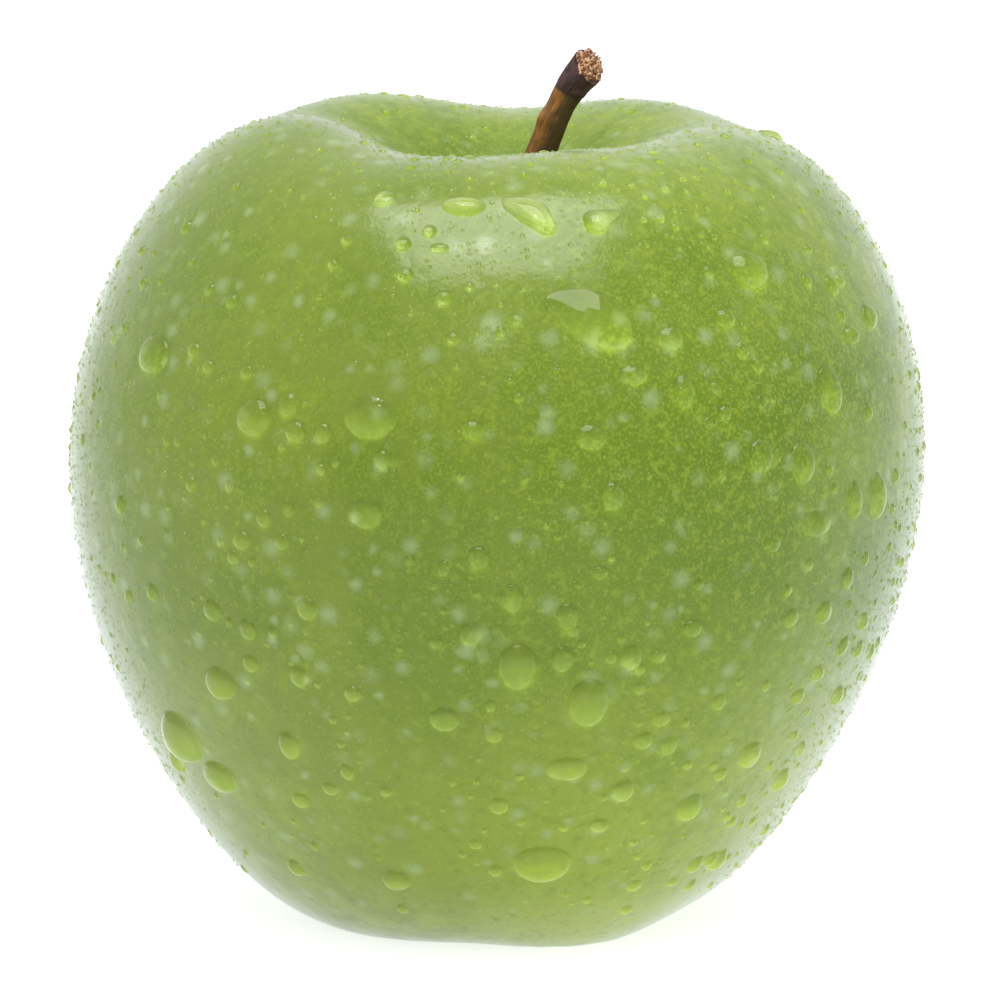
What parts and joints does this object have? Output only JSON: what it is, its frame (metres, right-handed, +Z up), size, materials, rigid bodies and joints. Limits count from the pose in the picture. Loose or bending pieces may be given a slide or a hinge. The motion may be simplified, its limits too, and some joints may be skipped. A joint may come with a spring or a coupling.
{
  "type": "green apple",
  "caption": "Fresh green apple with a woody stem leaning out of its cavity, a dry calyx underneath and water drops on the skin. It stands on the small flats of its own base.",
  "frame": {"origin": "on the surface the apple stands on, under the middle of its outline", "axes": "+Z up along the core, +X towards the side the stem leans to, -Y towards the side with the larger drops"},
  "size_m": [0.0802, 0.0803, 0.0814],
  "materials": {
    "skin": "waxy satin skin, mid green, paler towards both ends, with soft pale dots",
    "stem_wood": "matt woody stalk, olive brown, darker collar, torn beige end",
    "dry_calyx": "matt, dry and fibrous, grey brown",
    "water": "clear water, glossy"
  },
  "bodies": {
    "root": {"apple": "skin", "stem": "stem_wood", "calyx": "dry_calyx"}
  },
  "joints": []
}
